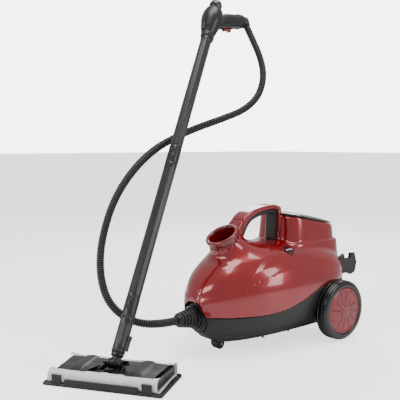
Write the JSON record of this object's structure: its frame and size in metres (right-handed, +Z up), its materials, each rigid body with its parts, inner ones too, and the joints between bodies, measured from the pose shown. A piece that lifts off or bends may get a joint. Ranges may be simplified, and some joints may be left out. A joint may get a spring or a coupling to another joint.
{
  "type": "steam mop",
  "caption": "Canister steam mop: wheeled boiler canister with carry handle, corrugated hose, steam gun, extension tubes and a hinged floor head with a cloth.",
  "frame": {"origin": "on the floor, at the centre of the footprint of everything but the hose", "axes": "+Z up, +X towards the canister nose, +Y towards the canister left side"},
  "size_m": [0.8598, 0.3932, 0.8872],
  "materials": {
    "upper_shell": "gloss",
    "lower_base": "satin",
    "filler_funnel": "gloss",
    "carry_handle": "gloss",
    "handle_grip": "satin",
    "accessory_tray": "satin",
    "accessory_lid": "gloss",
    "lid_hinge_pin": "satin",
    "indicator_panel": "gloss",
    "indicator_lenses": "gloss",
    "cord_hook_left": "satin",
    "cord_hook_right": "satin",
    "hose_socket": "satin",
    "hose_connector": "satin",
    "boiler": "satin",
    "heating_element": "satin",
    "boiler_brackets": "satin",
    "filler_neck": "satin",
    "safety_valve": "satin",
    "thermostat": "satin",
    "steam_valve": "satin",
    "steam_pipe": "satin",
    "cable_gland": "matt",
    "case_screws": "satin",
    "rear_axle": "satin",
    "filler_cap": "satin",
    "cap_seal": "matt",
    "tyre_left": "gloss",
    "tyre_right": "gloss",
    "wheel_disc_left": "gloss",
    "wheel_disc_right": "gloss",
    "caster_fork": "satin",
    "caster_pin": "satin",
    "caster_roller": "satin",
    "gun_shell_left": "satin",
    "gun_shell_right": "satin",
    "steam_trigger": "satin",
    "trigger_pin": "satin",
    "steam_dial": "gloss",
    "dial_cap": "gloss",
    "gun_release_button": "satin",
    "hose_swivel": "satin",
    "hose_strain_relief": "matt",
    "upper_tube": "satin",
    "lower_tube": "satin",
    "upper_tube_button": "satin",
    "lower_tube_button": "satin",
    "adapter_tube": "satin",
    "adapter_latch": "satin",
    "neck": "satin",
    "swivel_yoke": "satin",
    "pitch_pin": "satin",
    "head_body": "satin",
    "glide_frame": "satin",
    "flap_left": "satin",
    "flap_right": "satin",
    "flap_pins": "satin",
    "mop_cloth": "matt",
    "steam_hose": "satin"
  },
  "bodies": {
    "canister": {"upper_shell": "upper_shell", "lower_base": "lower_base", "filler_funnel": "filler_funnel", "carry_handle": "carry_handle", "handle_grip": "handle_grip", "accessory_tray": "accessory_tray", "lid_hinge_pin": "lid_hinge_pin", "indicator_panel": "indicator_panel", "indicator_lenses": "indicator_lenses", "cord_hook_left": "cord_hook_left", "cord_hook_right": "cord_hook_right", "hose_socket": "hose_socket", "hose_connector": "hose_connector", "boiler": "boiler", "heating_element": "heating_element", "boiler_brackets": "boiler_brackets", "filler_neck": "filler_neck", "safety_valve": "safety_valve", "thermostat": "thermostat", "steam_valve": "steam_valve", "steam_pipe": "steam_pipe", "cable_gland": "cable_gland", "case_screws": "case_screws", "rear_axle": "rear_axle", "gun_shell_left": "gun_shell_left", "gun_shell_right": "gun_shell_right", "trigger_pin": "trigger_pin", "hose_swivel": "hose_swivel", "hose_strain_relief": "hose_strain_relief", "upper_tube": "upper_tube", "lower_tube": "lower_tube", "adapter_tube": "adapter_tube", "neck": "neck", "steam_hose": "steam_hose"},
    "wheel_left": {"tyre_left": "tyre_left", "wheel_disc_left": "wheel_disc_left"},
    "wheel_right": {"tyre_right": "tyre_right", "wheel_disc_right": "wheel_disc_right"},
    "caster": {"caster_fork": "caster_fork", "caster_pin": "caster_pin"},
    "caster_roller": {"caster_roller": "caster_roller"},
    "cap_seal": {"cap_seal": "cap_seal"},
    "filler_cap": {"filler_cap": "filler_cap"},
    "lid": {"accessory_lid": "accessory_lid"},
    "trigger": {"steam_trigger": "steam_trigger"},
    "dial": {"steam_dial": "steam_dial", "dial_cap": "dial_cap"},
    "gun_button": {"gun_release_button": "gun_release_button"},
    "upper_button": {"upper_tube_button": "upper_tube_button"},
    "lower_button": {"lower_tube_button": "lower_tube_button"},
    "latch": {"adapter_latch": "adapter_latch"},
    "yoke": {"swivel_yoke": "swivel_yoke", "pitch_pin": "pitch_pin"},
    "head": {"head_body": "head_body", "glide_frame": "glide_frame", "flap_pins": "flap_pins", "mop_cloth": "mop_cloth"},
    "flap_left": {"flap_left": "flap_left"},
    "flap_right": {"flap_right": "flap_right"}
  },
  "joints": [
    {"name": "wheel_left_spin", "type": "hinge", "parent": "canister", "child": "wheel_left", "pos_m": [-0.3009, 0.14588, 0.0755], "axis": [0, 1, 0], "continuous": true},
    {"name": "wheel_right_spin", "type": "hinge", "parent": "canister", "child": "wheel_right", "pos_m": [-0.3009, -0.09012, 0.0755], "axis": [0, 1, 0], "continuous": true},
    {"name": "caster_swivel", "type": "hinge", "parent": "canister", "child": "caster", "pos_m": [0.0011, 0.02788, 0.03], "axis": [0, 0, 1], "continuous": true},
    {"name": "caster_roll", "type": "hinge", "parent": "caster", "child": "caster_roller", "pos_m": [-0.0089, 0.02788, 0.013], "axis": [0, 1, 0], "continuous": true},
    {"name": "cap_lift", "type": "slide", "parent": "canister", "child": "cap_seal", "axis": [0.5, 0, 0.866], "range_m": [0, 0.0105]},
    {"name": "cap_turn", "type": "hinge", "parent": "cap_seal", "child": "filler_cap", "pos_m": [-0.0389, 0.02788, 0.24392], "axis": [0.5, 0, 0.866], "range_deg": [0, 720]},
    {"name": "lid_open", "type": "hinge", "parent": "canister", "child": "lid", "pos_m": [-0.3779, 0.02788, 0.277], "axis": [0, -1, 0], "range_deg": [0, 80]},
    {"name": "trigger_pull", "type": "hinge", "parent": "canister", "child": "trigger", "pos_m": [-0.19147, -0.165, 0.81288], "axis": [-0.0671, 0.9718, 0.226], "range_deg": [0, 8], "stiffness_Nm_per_rad": 0.6},
    {"name": "dial_turn", "type": "hinge", "parent": "canister", "child": "dial", "pos_m": [-0.16894, -0.17359, 0.8565], "axis": [-0.4809, -0.23, 0.8461], "range_deg": [0, 270]},
    {"name": "gun_button_press", "type": "slide", "parent": "canister", "child": "gun_button", "axis": [-0.8742, 0.0519, -0.4827], "range_m": [0, 0.0025], "stiffness_N_per_m": 500},
    {"name": "upper_button_press", "type": "slide", "parent": "canister", "child": "upper_button", "axis": [-0.6784, -0.5137, -0.5252], "range_m": [0, 0.003], "stiffness_N_per_m": 500},
    {"name": "lower_button_press", "type": "slide", "parent": "canister", "child": "lower_button", "axis": [-0.6784, -0.5137, -0.5252], "range_m": [0, 0.003], "stiffness_N_per_m": 500},
    {"name": "latch_press", "type": "slide", "parent": "canister", "child": "latch", "axis": [0.5554, -0.8266, 0.091], "range_m": [0, 0.0015], "stiffness_N_per_m": 500},
    {"name": "head_pitch", "type": "hinge", "parent": "canister", "child": "yoke", "pos_m": [0.29769, 0.0496, 0.03545], "axis": [-0.5554, 0.8266, -0.091], "range_deg": [-30, 22]},
    {"name": "head_roll", "type": "hinge", "parent": "yoke", "child": "head", "pos_m": [0.29827, 0.04873, 0.024], "axis": [0.83, 0.5577, 0], "range_deg": [-20, 20]},
    {"name": "flap_left_open", "type": "hinge", "parent": "head", "child": "flap_left", "pos_m": [0.2895, 0.07416, 0.0285], "axis": [0.83, 0.5577, 0], "range_deg": [0, 45], "stiffness_Nm_per_rad": 0.15},
    {"name": "flap_right_open", "type": "hinge", "parent": "head", "child": "flap_right", "pos_m": [0.3185, 0.031, 0.0285], "axis": [-0.83, -0.5577, 0], "range_deg": [0, 45], "stiffness_Nm_per_rad": 0.15}
  ],
  "couplings": [
    {"joint": "cap_lift", "follows": "cap_turn", "m_per_rad": 0.0008}
  ]
}
